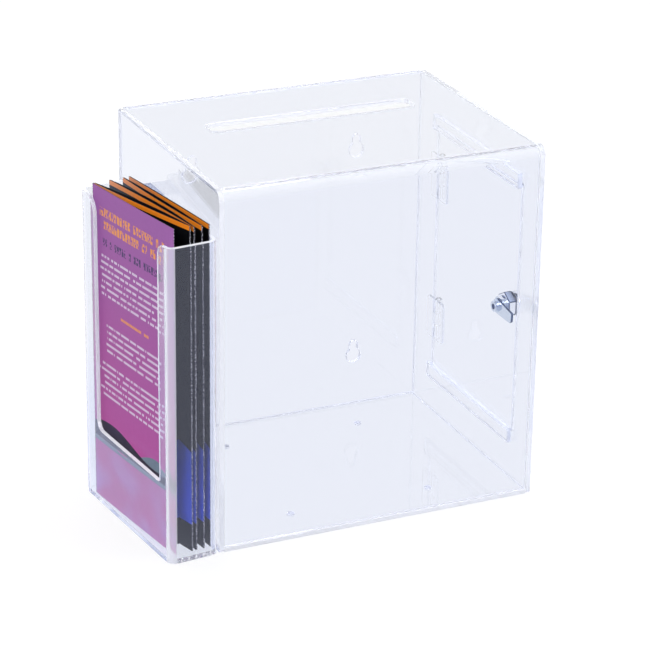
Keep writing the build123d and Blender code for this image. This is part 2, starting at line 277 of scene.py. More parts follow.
def turned(profile: Outline, steps: int = 48) -> BMesh:
    """Solid turned about its own Z axis.

    Args:
        profile: radius and height of each point, from one end of the axis to the other.
        steps: faces round the axis.

    Returns:
        The closed mesh.
    """
    mesh = bmesh.new()
    points = [mesh.verts.new((radius, 0, height)) for radius, height in profile]
    line = [mesh.edges.new(pair) for pair in zip(points, points[1:])]
    bmesh.ops.spin(
        mesh, geom=points + line, cent=(0, 0, 0), axis=(0, 0, 1), angle=2 * pi, steps=steps, use_merge=True
    )
    bmesh.ops.remove_doubles(mesh, verts=list(mesh.verts), dist=WELD)
    bmesh.ops.recalc_face_normals(mesh, faces=list(mesh.faces))
    return mesh


def joined(first: BMesh, *others: BMesh) -> BMesh:
    """Put several meshes into the first one.

    Args:
        first: mesh that takes the others.
        others: meshes that it takes, which are freed.

    Returns:
        The first mesh.
    """
    for other in others:
        carrier = bpy.data.meshes.new("carrier")
        other.to_mesh(carrier)
        other.free()
        first.from_mesh(carrier)
        bpy.data.meshes.remove(carrier)
    return first


def finish_piece(
    name: str, node: str, mesh: BMesh, place: Matrix, body: str, finishes: Sequence[Material],
    sharp: float = CORNER,
) -> None:
    """Turn a mesh drawn in millimetres into a piece of the object.

    Args:
        name: the piece's name.
        node: frame node that it replaces.
        mesh: its mesh, which is freed.
        place: matrix from the drawing to the frame, in millimetres.
        body: moving body that carries the piece.
        finishes: materials, in slot order.
        sharp: edges that turn by more degrees than this stay sharp.
    """
    bmesh.ops.transform(mesh, matrix=Matrix.Scale(MM, 4) @ place, verts=list(mesh.verts))
    for face in mesh.faces:
        face.smooth = True
    for line in mesh.edges:
        line.smooth = not line.is_manifold or line.calc_face_angle(0) < radians(sharp)
    data = bpy.data.meshes.new(name)
    mesh.to_mesh(data)
    mesh.free()
    piece = bpy.data.objects.new(name, data)
    bpy.context.scene.collection.objects.link(piece)
    for finish in finishes:
        data.materials.append(finish)
    piece.modifiers.new("even_shading", "WEIGHTED_NORMAL").keep_sharp = True
    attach(piece, body)
    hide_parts(node)
    log.info("%s: %d faces, on body %s", name, len(data.polygons), body)


# Finishes


@dataclass(frozen=True)
class Finish:
    """A finish, named for what it is made of and how."""

    name: str

    def shader(self, add: Add) -> Node:
        """Add the finish's nodes, and give the last of its shaders."""
        raise NotImplementedError

    def material(self) -> Material:
        """Make the finish's node material.

        Returns:
            The material.
        """
        material = bpy.data.materials.new(self.name)
        material.use_nodes = True
        material.node_tree.nodes.clear()
        add = partial(add_node, material.node_tree)
        add("OutputMaterial", {"Surface": self.shader(add)})
        return material


@dataclass(frozen=True)
class ClearPlastic(Finish):
    """A clear plastic: light passes it with little loss and leaves with the plastic's own tint.

    Its faces swell and sink by wave_height over wave_mm, both in millimetres. Milk is the share of light that
    it scatters, and shadow the pale tint of the shadow that it throws.
    """

    tint: str
    roughness: float = 0.0
    ior: float = 1.49
    wave_mm: float = 45.0
    wave_height: float = 0.004
    milk: float = 0.0
    shadow: str = "#f7f9fe"

    def shader(self, add: Add) -> Node:
        """Add a waved clear surface that shadow rays pass as a pale tint.

        Args:
            add: adds a node to the material's tree.

        Returns:
            The mixed shader.
        """
        spot = add("TexCoord").outputs["Object"]
        scale = 1 / (self.wave_mm * MM)
        wave = add("TexNoise", {"Vector": spot, "Scale": scale, "Detail": 1.5, "Roughness": 0.4})
        bump = add("Bump", {"Height": wave, "Distance": self.wave_height * MM})
        clear = add(
            "BsdfPrincipled",
            {
                "Base Color": linear(self.tint), "Roughness": self.roughness, "IOR": self.ior,
                "Transmission Weight": 1.0 - self.milk, "Normal": bump,
            },
        )
        passed = add("BsdfTransparent", {"Color": linear(self.shadow)})
        shadow_ray = add("LightPath").outputs["Is Shadow Ray"]
        return add("MixShader", [shadow_ray, clear, passed])


@dataclass(frozen=True)
class PlatedMetal(Finish):
    """Bright plating on a small casting or pressing: mirror-like, with a faint unevenness from polishing."""

    colour: str
    roughness: float
    grain_mm: float
    grain_height: float = 0.004
    least: float = 0.6
    most: float = 1.5

    def shader(self, add: Add) -> Node:
        """Add a metal whose roughness goes from its least to its most share with the grain.

        Args:
            add: adds a node to the material's tree.

        Returns:
            The shader.
        """
        spot = add("TexCoord").outputs["Object"]
        grain = add("TexNoise", {"Vector": spot, "Scale": 1 / (self.grain_mm * MM), "Detail": 3.0})
        low, high = self.roughness * self.least, self.roughness * self.most
        dull = add("MapRange", [grain, 0.0, 1.0, low, high])
        bump = add("Bump", {"Height": grain, "Distance": self.grain_height * MM})
        return add(
            "BsdfPrincipled",
            {"Base Color": linear(self.colour), "Metallic": 1.0, "Roughness": dull, "Normal": bump},
        )


@dataclass(frozen=True)
class DeepShade(Finish):
    """Black of a slot that no light reaches."""

    colour: str
    roughness: float = 0.6

    def shader(self, add: Add) -> Node:
        """Add a plain dull surface."""
        return add("BsdfPrincipled", {"Base Color": linear(self.colour), "Roughness": self.roughness})


@dataclass(frozen=True)
class Motif:
    """Something printed over a page's ground in one colour, with sizes and places in millimetres."""

    colour: str

    def mask(self, add: Add, x: Feed, z: Feed) -> Node:
        """Add the nodes of its shape at x across and z up the page: 1 inside it and 0 outside."""
        raise NotImplementedError

    def lay(self, add: Add, x: Feed, z: Feed, under: Feed) -> Node:
        """Print it over a colour.

        Args:
            add: adds a node to the material's tree.
            x: distance from the page's left edge.
            z: height on the page.
            under: colour that it is printed on.

        Returns:
            The colour with the motif on it.
        """
        mask = self.mask(add, x, z)
        return add("Mix", {"Factor": mask, "A": under, "B": linear(self.colour)}, data_type="RGBA")


@dataclass(frozen=True)
class PrintLines(Motif):
    """Lines of make-believe print: runs of small marks in place of letters.

    Low to right is the block that they fill. Pitch is from line to line, mark is a line's height and letter
    the width of one mark with its gap. Ragged is the share by which a line may fall short. Strokes cuts a
    tall mark into that many rows of bits, of which some are dropped. Gaps, solid, column and dropped are
    shares.
    """

    low: float
    high: float
    left: float
    right: float
    pitch: float
    mark: float
    letter: float
    ragged: float
    strokes: int = 0
    gaps: float = 0.17
    solid: float = 0.78
    column: float = 0.26
    dropped: float = 0.3

    def mask(self, add: Add, x: Feed, z: Feed) -> Node:
        """Shape the lines.

        Args:
            add: adds a node to the material's tree.
            x: distance from the page's left edge.
            z: height on the page.

        Returns:
            Their mask.
        """
        middle, half = (self.left + self.right) / 2, (self.right - self.left) / 2
        level, tall = (self.low + self.high) / 2, (self.high - self.low) / 2
        lifted = add("Math", [z, self.low], operation="SUBTRACT")
        line = add("Math", [lifted, self.pitch], operation="DIVIDE")
        number = add("Math", [line], operation="FLOOR")
        within = add("Math", [line], operation="FRACT")
        mask = add("Math", [within, 0.5, self.mark / self.pitch / 2], operation="COMPARE")
        zone = add("Math", [z, level, tall], operation="COMPARE")
        chance = add("TexWhiteNoise", {"W": number}, noise_dimensions="1D")
        reach = add("Math", [chance, -self.ragged * half, half], operation="MULTIPLY_ADD")
        across = add("Math", [x, middle, reach], operation="COMPARE")
        cell = add("Math", [x, self.letter], operation="DIVIDE")
        place = add("Math", [cell], operation="FLOOR")
        spot = add("CombineXYZ", [place, number, self.low])
        letters = add("TexWhiteNoise", {"Vector": spot}, noise_dimensions="3D")
        kept = add("Math", [letters, self.gaps], operation="GREATER_THAN")
        inside = add("Math", [cell], operation="FRACT")
        parts = [zone, across, kept, add("Math", [inside, self.solid], operation="LESS_THAN")]
        if self.strokes:
            column = add("Math", [inside, self.column], operation="SNAP")
            row = add("Math", [within, 1 / self.strokes], operation="SNAP")
            step = add("CombineXYZ", [column, row])
            spot = add("VectorMath", [spot, step], operation="ADD")
            bits = add("TexWhiteNoise", {"Vector": spot}, noise_dimensions="3D")
            parts.append(add("Math", [bits, self.dropped], operation="GREATER_THAN"))
        for part in parts:
            mask = add("Math", [mask, part], operation="MULTIPLY")
        return mask


@dataclass(frozen=True)
class Hills(Motif):
    """A row of low hills: a wave across the page, filled down to a straight foot."""

    pitch: float
    shift: float
    level: float
    swell: float
    tall: float = 8.0

    def mask(self, add: Add, x: Feed, z: Feed) -> Node:
        """Shape the hills.

        Args:
            add: adds a node to the material's tree.
            x: distance from the page's left edge.
            z: height on the page.

        Returns:
            Their mask.
        """
        wave = add("Math", [x, 1 / self.pitch, self.shift], operation="MULTIPLY_ADD")
        wave = add("Math", [wave], operation="SINE")
        crest = add("Math", [wave, self.swell, self.level], operation="MULTIPLY_ADD")
        below = add("Math", [z, crest], operation="LESS_THAN")
        above = add("Math", [z, self.level - self.tall], operation="GREATER_THAN")
        return add("Math", [below, above], operation="MULTIPLY")


@dataclass(frozen=True)
class Paper(Finish):
    """Coated paper, offset printed: even colour with a soft sheen and a faint mottle of the stock."""

    def ink(self, add: Add) -> Node:
        """Add the nodes of what is printed, and give its colour."""
        raise NotImplementedError

    def page(self, add: Add) -> tuple[NodeSocket, NodeSocket]:
        """Find the place on the page, in millimetres.

        Args:
            add: adds a node to the material's tree.

        Returns:
            How far across from the page's left edge, and how far up from its foot.
        """
        spot = add("UVMap", uv_map="page")
        scaled = add("VectorMath", {0: spot, "Scale": PAGE_UNIT}, operation="SCALE")
        parts = add("SeparateXYZ", [scaled]).outputs
        return parts["X"], parts["Y"]

    def shader(self, add: Add) -> Node:
        """Put the printed colour on the paper stock, which is mottled over 2.5 mm.

        Args:
            add: adds a node to the material's tree.

        Returns:
            The shader.
        """
        mottle_mm, faint = 2.5, 0.05
        spot = add("TexCoord").outputs["Object"]
        mottle = add("TexNoise", {"Vector": spot, "Scale": 1 / (mottle_mm * MM), "Detail": 2.0})
        tone = add("MapRange", [mottle, 0.0, 1.0, 1 - faint, 1 + faint])
        shade = add("VectorMath", {0: self.ink(add), "Scale": tone}, operation="SCALE")
        return add("BsdfPrincipled", {"Base Color": shade, "Roughness": 0.5, "Specular IOR Level": 0.2})


@dataclass(frozen=True)
class CoverPrint(Paper):
    """The outer cover: a violet ground that warms towards its foot, with lines of print and low hills."""

    top: str = "#9c5da3"
    foot: str = "#ba5199"
    fade: Point = (20.0, 190.0)
    cloud: str = "#b57cbb"
    cloud_mm: float = 38.0
    cloud_levels: Point = (10.0, 60.0)
    cloud_density: Point = (0.4, 0.65)
    motifs: tuple[Motif, ...] = (
        Hills("#6f7f8e", 13.0, 2.0, 47.0, 6.0),
        Hills("#2a2038", 17.0, 0.4, 50.0, 4.5),
        PrintLines("#ea9a55", 183.0, 199.0, 7.0, 93.0, 8.0, 5.6, 3.4, 0.25, 5),
        PrintLines("#4c3866", 172.5, 179.0, 12.0, 88.0, 6.5, 4.9, 3.0, 0.0, 5),
        PrintLines("#e3d6e8", 139.0, 168.4, 8.0, 92.0, 4.2, 1.6, 1.25, 0.05),
        PrintLines("#ea9a55", 129.5, 133.0, 32.0, 68.0, 3.5, 1.9, 1.6, 0.0),
        PrintLines("#e3d6e8", 102.0, 123.0, 14.0, 86.0, 4.2, 1.6, 1.25, 0.05),
        PrintLines("#e3d6e8", 71.0, 96.2, 5.0, 95.0, 4.2, 1.6, 1.25, 0.16),
    )

    def ink(self, add: Add) -> Node:
        """Print the ground, its soft lilac clouds low down, the hills and the lines.

        Args:
            add: adds a node to the material's tree.

        Returns:
            The printed colour.
        """
        x, z = self.page(add)
        fall = add("MapRange", [z, *self.fade])
        colour = add("Mix", {"Factor": fall, "A": linear(self.foot), "B": linear(self.top)}, data_type="RGBA")
        spot = add("CombineXYZ", [x, z])
        drift = add(
            "TexNoise", {"Vector": spot, "Scale": 1 / self.cloud_mm, "Detail": 1.0}, noise_dimensions="2D",
        )
        deep = add("MapRange", [z, *self.cloud_levels, 1.0, 0.0])
        thin = add("MapRange", [drift, *self.cloud_density], interpolation_type="SMOOTHSTEP")
        veil = add("Math", [deep, thin], operation="MULTIPLY")
        colour = add("Mix", {"Factor": veil, "A": colour, "B": linear(self.cloud)}, data_type="RGBA")
        for motif in self.motifs:
            colour = motif.lay(add, x, z, colour)
        return colour


@dataclass(frozen=True)
class InnerPrint(Paper):
    """The other pages: black with a coloured band along the top and a blue field low down.

    Towards the page's left edge both take a painted highlight, where the sheet curls up to the light. Levels
    are in millimetres up the page, and the field's upper edge rises by slope towards the left.
    """

    ground: str = "#07070b"
    painted_curl_light: str = "#4a5262"
    band: str = "#ff8f22"
    band_in_painted_curl_light: str = "#f0a077"
    band_low: float = 207.0
    painted_curl_light_reach: float = 42.0
    field: str = "#3a58dc"
    field_low: float = 18.0
    field_high: float = 66.0
    field_fade: float = 30.0
    field_least: float = 0.35
    slope: float = 0.35

    def ink(self, add: Add) -> Node:
        """Print the ground, the field and the band.

        Args:
            add: adds a node to the material's tree.

        Returns:
            The printed colour.
        """
        x, z = self.page(add)
        left_high = self.field_high + LEAFLET[0] * self.slope
        level = add("Math", [x, -self.slope, left_high], operation="MULTIPLY_ADD")
        below = add("Math", [z, level], operation="LESS_THAN")
        above = add("Math", [z, self.field_low], operation="GREATER_THAN")
        patch = add("Math", [below, above], operation="MULTIPLY")
        depth = add("MapRange", [z, self.field_low, self.field_high + self.field_fade, 1.0, self.field_least])
        strength = add("Math", [patch, depth], operation="MULTIPLY")
        head = add("Math", [z, self.band_low], operation="GREATER_THAN")
        # Painted highlight: the ground and the band lighten towards the page's left edge
        painted_curl_light = add("MapRange", [x, 0.0, self.painted_curl_light_reach, 1.0, 0.0])
        ground, band = (
            add("Mix", {"Factor": painted_curl_light, "A": linear(flat), "B": linear(lit)}, data_type="RGBA")
            for flat, lit in ((self.ground, self.painted_curl_light), (self.band, self.band_in_painted_curl_light))
        )
        lower = add("Mix", {"Factor": strength, "A": ground, "B": linear(self.field)}, data_type="RGBA")
        return add("Mix", {"Factor": head, "A": lower, "B": band}, data_type="RGBA")


@dataclass(frozen=True)
class CutEdge(Paper):
    """Cut and folded edges of dark-printed paper: the white stock shows through in worn specks."""

    dark: str = "#3c3a46"
    white: str = "#eceaf0"
    speck_mm: float = 0.8
    worn: Point = (0.5, 0.6)

    def ink(self, add: Add) -> Node:
        """Strew the worn specks over the dark print.

        Args:
            add: adds a node to the material's tree.

        Returns:
            The colour.
        """
        spot = add("TexCoord").outputs["Object"]
        specks = add("TexNoise", {"Vector": spot, "Scale": 1 / (self.speck_mm * MM), "Detail": 2.0})
        worn = add("MapRange", [specks, *self.worn])
        return add("Mix", {"Factor": worn, "A": linear(self.dark), "B": linear(self.white)}, data_type="RGBA")


# The box itself


@dataclass(kw_only=True)
class SheetWork:
    """Sizes and finishes that the panels cut from clear sheet share.

    Joint is the film of cement between panels, edge the softening of their edges, and the doorway is the hole
    in the right side.
    """

    pale: Material
    flamed: Material
    sheet: float = 3.0
    joint: float = 0.05
    edge: float = 0.3
    doorway_centre: Point = (-2.5, 117.5)
    doorway: Point = (115.0, 168.0)
    doorway_corner: float = 2.0

    def upright(self, x: float) -> Matrix:
        """Placing matrix of a panel that stands across X: its drawing's X runs back and its Y up."""
        return axes((x, 0, 0), (0, 1, 0), (0, 0, 1))

    def panel(
        self, name: str, node: str, place: Matrix, finishes: Sequence[Material], outline: Outline,
        holes: Sequence[Outline] = (), body: str = "box",
    ) -> None:
        """Cut one panel from the sheet and put it in its place.

        Args:
            name: the piece's name.
            node: frame node that it stands for.
            place: placing matrix of its drawing.
            finishes: finish of its faces and of its edges.
            outline: its outline.
            holes: outlines of its holes.
            body: moving body that carries it.
        """
        finish_piece(name, node, plate(outline, self.sheet, holes, self.edge), place, body, finishes)


@dataclass(kw_only=True)
class BoxShell(SheetWork):
    """Five glued panels: a sheet bent over the front and top, two sides, a back and a base.

    The slot is given by its length, width and corner radius, its place by how far it lies from the back. A
    keyhole is a round head with a narrow neck that ends in a half circle, rise above the head's centre.
    """

    deep: Material
    glued: Material
    bloom: Material
    width: float = 213.0
    depth: float = 166.0
    height: float = 232.5
    bend: float = 7.0
    folds: int = 12
    corner: float = 2.0
    slot: Point = (138.0, 16.0)
    slot_corner: float = 4.0
    slot_back: float = 49.5
    keyhole_sides: Point = (-57.5, 57.5)
    keyhole_levels: Point = (38.5, 182.0)
    keyhole: Triple = (5.0, 2.75, 7.75)
    screw_sides: Point = (-47.5, 47.5)
    screw_rows: Point = (-54.5, 51.0)
    screw_radius: float = 2.1

    @property
    def half(self) -> float:
        """Half the width of a panel that fits between the sides."""
        return self.width / 2 - self.sheet - self.joint

    def build_bent_sheet(self) -> None:
        """Build the front and top: a flat sheet with the ballot slot, bent over a radius."""
        half, front, low = self.half, -self.depth / 2, self.sheet + self.joint
        rise, run = self.height - self.bend - low, self.depth - self.bend
        bent = self.bend * pi / 2
        length = rise + bent + run
        slot_at = length - self.slot_back - self.slot[1] / 2
        slot = rounded_box((0, slot_at), self.slot, [self.slot_corner] * 4)
        outline = [(-half, 0), (half, 0), (half, length), (-half, length)]
        mesh = plate(outline, self.sheet, [slot], self.edge)
        for fold in range(self.folds + 1):
            split(mesh, (0, rise + bent * fold / self.folds, 0), (0, 1, 0))
        for point in mesh.verts:
            x, along, up = point.co
            depth = self.sheet - up
            reach = self.bend - depth
            if along <= rise:
                point.co = (x, front + depth, low + along)
            elif along < rise + bent:
                turn = (along - rise) / self.bend
                back, above = -reach * cos(turn), reach * sin(turn)
                point.co = (x, front + self.bend + back, self.height - self.bend + above)
            else:
                point.co = (x, front + self.bend + along - rise - bent, self.height - depth)
        mesh.normal_update()
        for face in mesh.faces:
            if face.material_index == 0 and min(abs(face.normal.y), abs(face.normal.z)) > 1 - LEVEL:
                face.material_index = 2
        finishes = [self.deep, self.flamed, self.bloom]
        finish_piece("bent_front_and_top", "front_top_shell", mesh, Matrix(), "box", finishes)

    def build_sides(self) -> None:
        """Build the two sides, the right one with the doorway."""
        radii = (self.corner, self.corner, self.corner, self.bend)
        outline = rounded_box((0, self.height / 2), (self.depth, self.height), radii, steps=8)
        left, right = self.upright(-self.width / 2), self.upright(self.width / 2 - self.sheet)
        doorway = rounded_box(self.doorway_centre, self.doorway, [self.doorway_corner] * 4)
        self.panel("left_side", "left_side_panel", left, [self.deep, self.flamed], outline)
        self.panel("right_side", "right_side_frame", right, [self.pale, self.flamed], outline, [doorway])

    def build_base(self) -> None:
        """Build the base with its screw holes."""
        half, y = self.half, self.depth / 2
        outline = [(-half, -y), (half, -y), (half, y), (-half, y)]
        spots = [(across, back) for across in self.screw_sides for back in self.screw_rows]
        holes = [ring(self.screw_radius, steps=24, centre=spot) for spot in spots]
        self.panel("base", "base_panel", Matrix(), [self.pale, self.glued], outline, holes)

    def keyhole_outline(self, x: float, z: float) -> list[Point]:
        """Outline of one keyhole.

        Args:
            x: place of its head's centre across the back.
            z: height of its head's centre.

        Returns:
            The outline.
        """
        head, neck, rise = self.keyhole
        meet = atan2((head**2 - neck**2) ** 0.5, neck)
        around = arc((x, z), head, meet, -(pi + 2 * meet), steps=20)
        return around + arc((x, z + rise), neck, pi, -pi, steps=10)

    def build_back(self) -> None:
        """Build the back with its keyholes."""
        half, low, high = self.half, self.sheet + self.joint, self.height - self.sheet - self.joint
        outline = [(-half, low), (half, low), (half, high), (-half, high)]
        holes = [self.keyhole_outline(i, j) for i in self.keyhole_sides for j in self.keyhole_levels]
        place = axes((0, self.depth / 2, 0), (1, 0, 0), (0, 0, 1))
        self.panel("back", "back_panel", place, [self.pale, self.glued], outline, holes)

    def build(self) -> None:
        """Build the five panels."""
        self.build_bent_sheet()
        self.build_sides()
        self.build_base()
        self.build_back()


@dataclass(kw_only=True)
class Door(SheetWork):
    """The lockable door in the right side, and the two strips that it shuts against.

    Gap is the door's clearance in the doorway. The lock's hole is given by its radius and its flats'
    distance.
    """

    strip: Material
    gap: float = 0.6
    lock_hole: Point = (6.1, 5.3)
    stop: Point = (116.0, 10.0)
    stop_centre: float = -1.5
    stop_levels: Point = (31.5, 203.5)

    def lock_outline(self) -> list[Point]:
        """Outline of the hole for the lock.

        Returns:
            A circle with two flats.
        """
        radius, flat = self.lock_hole
        turn = atan2(flat, (radius**2 - flat**2) ** 0.5)
        first, second = (arc(LOCK_AXIS, radius, side - turn, 2 * turn, steps=12) for side in (0, pi))
        return first + second

    def build(self) -> None:
        """Build the door and its stops."""
        size = (self.doorway[0] - 2 * self.gap, self.doorway[1] - 2 * self.gap)
        outline = rounded_box(self.doorway_centre, size, [self.doorway_corner - self.gap] * 4)
        place = self.upright(DOOR_FACE - self.sheet)
        finishes = [self.pale, self.flamed]
        self.panel("door", "door_panel", place, finishes, outline, [self.lock_outline()], "door")
        place = self.upright(DOOR_FACE - 2 * self.sheet - self.joint)
        for end, level in zip(("bottom", "top"), self.stop_levels):
            outline = rounded_box((self.stop_centre, level), self.stop, [0.0] * 4)
            self.panel(f"stop_{end}", f"door_stop_{end}", place, [self.strip, self.flamed], outline)


@dataclass
class CamLock:
    """Chrome cam lock: housing, nut and keyed plug, with a cam, a washer and a screw on the plug's tail.

    Heights in its drawings run inwards from the door's outer face. The sizes are: flange, radius and
    thickness; crown, steps of its rounded rim, inwards from the rim and down from the face; barrel, radius,
    flats' distance and length; thread, pitch, depth and half the width of a crest; nut, width across flats,
    start and thickness; plug, radius of its collar and of its body, how far the collar lies below the flange,
    and its thickness; keyway, width, height and depth; cam, reach, radius at the root, half width at the tip,
    thickness and chamfer; washer, radius and thickness; screw, radius and height of its head, half width and
    depth of its socket.
    """

    plating: Material
    steel: Material
    painted_dark_reflection_and_shade: Material
    shadow: Material
    fit: float = 0.05
    flange: Point = (7.7, 2.2)
    crown: tuple[Point, ...] = ((0.8, 0.0), (0.3, 0.2), (0.0, 0.7))
    bore_chamfer: float = 0.15
    barrel: Triple = (6.0, 5.2, 11.4)
    neck: float = 3.0
    end_chamfer: float = 0.5
    thread: Triple = (1.0, 0.45, 0.1)
    nut: Triple = (15.0, 3.0, 5.0)
    nut_chamfer: float = 0.45
    plug: tuple[float, float, float, float] = (5.2, 4.0, 0.2, 1.4)
    plug_edge: float = 0.2
    keyway: Triple = (1.1, 6.0, 8.0)
    keyway_corner: float = 0.3
    cam_depth: float = 11.5
    cam: tuple[float, float, float, float, float] = (19.4, 4.7, 3.5, 1.6, 1.4)
    cam_nick: float = 0.6
    cam_edge: float = 0.35
    droop: float = 4.6
    washer: Point = (4.0, 0.5)
    washer_edge: float = 0.12
    screw: tuple[float, float, float, float] = (3.5, 1.8, 1.75, 1.1)
    screw_crown: float = 0.35

    def inward(self, depth: float = 0.0, droop: float = 0.0) -> Matrix:
        """Placing matrix of a drawing on the lock's axis: X runs to the front and Z into the box.

        Args:
            depth: how far inside the door's outer face the drawing starts.
            droop: how far its X hangs down, in degrees.

        Returns:
            The matrix.
        """
        lean = radians(droop)
        place = (DOOR_FACE - depth, *LOCK_AXIS)
        return axes(place, (0, -cos(lean), -sin(lean)), (0, -sin(lean), cos(lean)))

    def add(
        self, name: str, node: str, mesh: BMesh, place: Matrix, second: Material, body: str = "door",
    ) -> None:
        """Finish one of the plated castings, its second finish given."""
        finish_piece(name, node, mesh, place, body, [self.plating, second], FINE_CORNER)

    def build_housing(self) -> None:
        """Build the flange and the threaded barrel with its two flats."""
        radius, thick = self.flange
        outer, flat, length = self.barrel
        pitch, cut, crest = self.thread
        bore, inner = self.plug[0] + self.fit, self.plug[1] + self.fit
        rim = [(bore, self.bore_chamfer - thick), (bore + self.bore_chamfer, -thick)]
        rim += [(radius - inwards, down - thick) for inwards, down in self.crown]
        rim += [(radius, -crest), (radius - crest, 0.0), (bore, 0.0)]
        collar = turned([*rim, rim[0]], steps=64)
        turns = int((length - self.neck) / pitch)
        profile = [(inner, 0.0), (outer, 0.0)]
        for turn in range(turns):
            start = length - (turns - turn) * pitch
            root, end = start + pitch / 2, start + pitch - crest
            profile += [(outer, start + crest), (outer - cut, root), (outer, end)]
        barrel = turned([*profile, (outer - self.end_chamfer, length), (inner, length), (inner, 0.0)])
        for side in (1, -1):
            edges = split(barrel, (0, side * flat, 0), (0, side, 0), clear=True)
            bmesh.ops.triangle_fill(barrel, use_beauty=True, edges=edges, normal=(0, side, 0))
        bmesh.ops.recalc_face_normals(barrel, faces=list(barrel.faces))

        def in_shaded_thread_root(face: BMFace) -> bool:
            """Whether a face lies between the crests, off the flats and out of the bore."""
            middle = face.calc_center_median()
            return inner + SLACK < hypot(*middle.xy) < outer - SLACK and abs(middle.y) < flat - SLACK / 2

        # Painted shade: the thread's roots take the darker, duller steel finish
        mesh = joined(collar, put_in_slots(barrel, in_shaded_thread_root))
        self.add("lock_case", "lock_housing", mesh, self.inward(), self.steel)

    def build_nut(self) -> None:
        """Build the hexagon nut, one corner up, with its corners chamfered."""
        across, start, thick = self.nut
        bore = self.barrel[0] + 2 * self.fit
        hexagon = ring(across / 2 / cos(pi / 6), steps=6, start=pi / 2)
        mesh = plate(hexagon, thick, [ring(bore, steps=40)], slots=(0, 0))
        outer = [e for e in turned_edges(mesh) if all(hypot(*v.co.xy) > bore + SLACK for v in e.verts)]
        # Painted dark reflection: the chamfers take the dark blue finish
        for face in soften(mesh, outer, self.nut_chamfer):
            face.material_index = 1
        self.add("lock_nut_hex", "lock_nut", mesh, self.inward(start), self.painted_dark_reflection_and_shade)

    def build_plug(self) -> None:
        """Build the keyed plug: a collar with a keyway, its body, and the dark slot behind the keyway."""
        collar, body, recess, thick = self.plug
        wide, tall, deep = self.keyway
        slot = rounded_box((0, 0), (wide, tall), [self.keyway_corner] * 4, steps=3)
        disc = plate(ring(collar, steps=64), thick, [slot], self.plug_edge, (0, 0))
        shaft = put_in_slots(plate(ring(body), deep, [slot]), hole_wall(tall / 2))
        front = recess - self.flange[1]
        floor = front + thick + deep
        rear = put_in_slots(plate(ring(body), self.cam_depth - floor), lambda face: face.normal.z < -STEEP)
        mesh = joined(raised(disc, front), raised(shaft, front + thick), raised(rear, floor))
        self.add("lock_cylinder", "lock_plug", mesh, self.inward(), self.shadow, "lock")

    def build_cam(self) -> None:
        """Build the cam with its rim in painted dark reflection, and its washer and socket-headed screw."""
        reach, root, tip, thick, chamfer = self.cam
        lean = atan2(root - tip, reach)
        outline = arc((0, 0), root, pi / 2 - lean, pi + 2 * lean, steps=20)
        outline += [(reach - chamfer, -tip), (reach, chamfer - tip)]
        outline += [(reach, tip - self.cam_nick), (reach - self.cam_nick, tip)]
        # Painted dark reflection: the cam's rim takes the dark blue finish
        rim = 0.2
        cam = put_in_slots(plate(outline, thick, (), self.cam_edge), lambda face: abs(face.normal.z) < rim)
        radius, thin = self.washer
        washer = plate(ring(radius), thin, (), self.washer_edge, (0, 0))
        head, tall, socket, deep = self.screw
        floor = turned([(0, 0), (head, 0), (head, tall - deep), (0, tall - deep)])
        corner = socket / cos(pi / 6)
        wall = raised(plate(ring(head), deep, [ring(corner, steps=6)]), tall - deep)
        crown = [e for e in turned_edges(wall) if min(v.co.z for v in e.verts) > tall - SLACK]
        soften(wall, crown, self.screw_crown, steps=3)
        # Painted shade: the socket's walls take the dark blue finish
        put_in_slots(wall, hole_wall(corner))
        edged = [self.steel, self.painted_dark_reflection_and_shade]
        depth = self.cam_depth
        for name, node, mesh, finishes, rise in (
            ("cam_blade", "lock_cam", cam, edged, thick),
            ("cam_washer_ring", "cam_washer", washer, edged[:1], thin),
            ("cam_screw_head", "cam_screw", joined(floor, wall), edged, tall),
        ):
            place = self.inward(depth, self.droop)
            finish_piece(name, node, mesh, place, "lock", finishes, FINE_CORNER)
            depth += rise

    def build(self) -> None:
        """Build all the lock's pieces."""
        self.build_housing()
        self.build_nut()
        self.build_plug()
        self.build_cam()


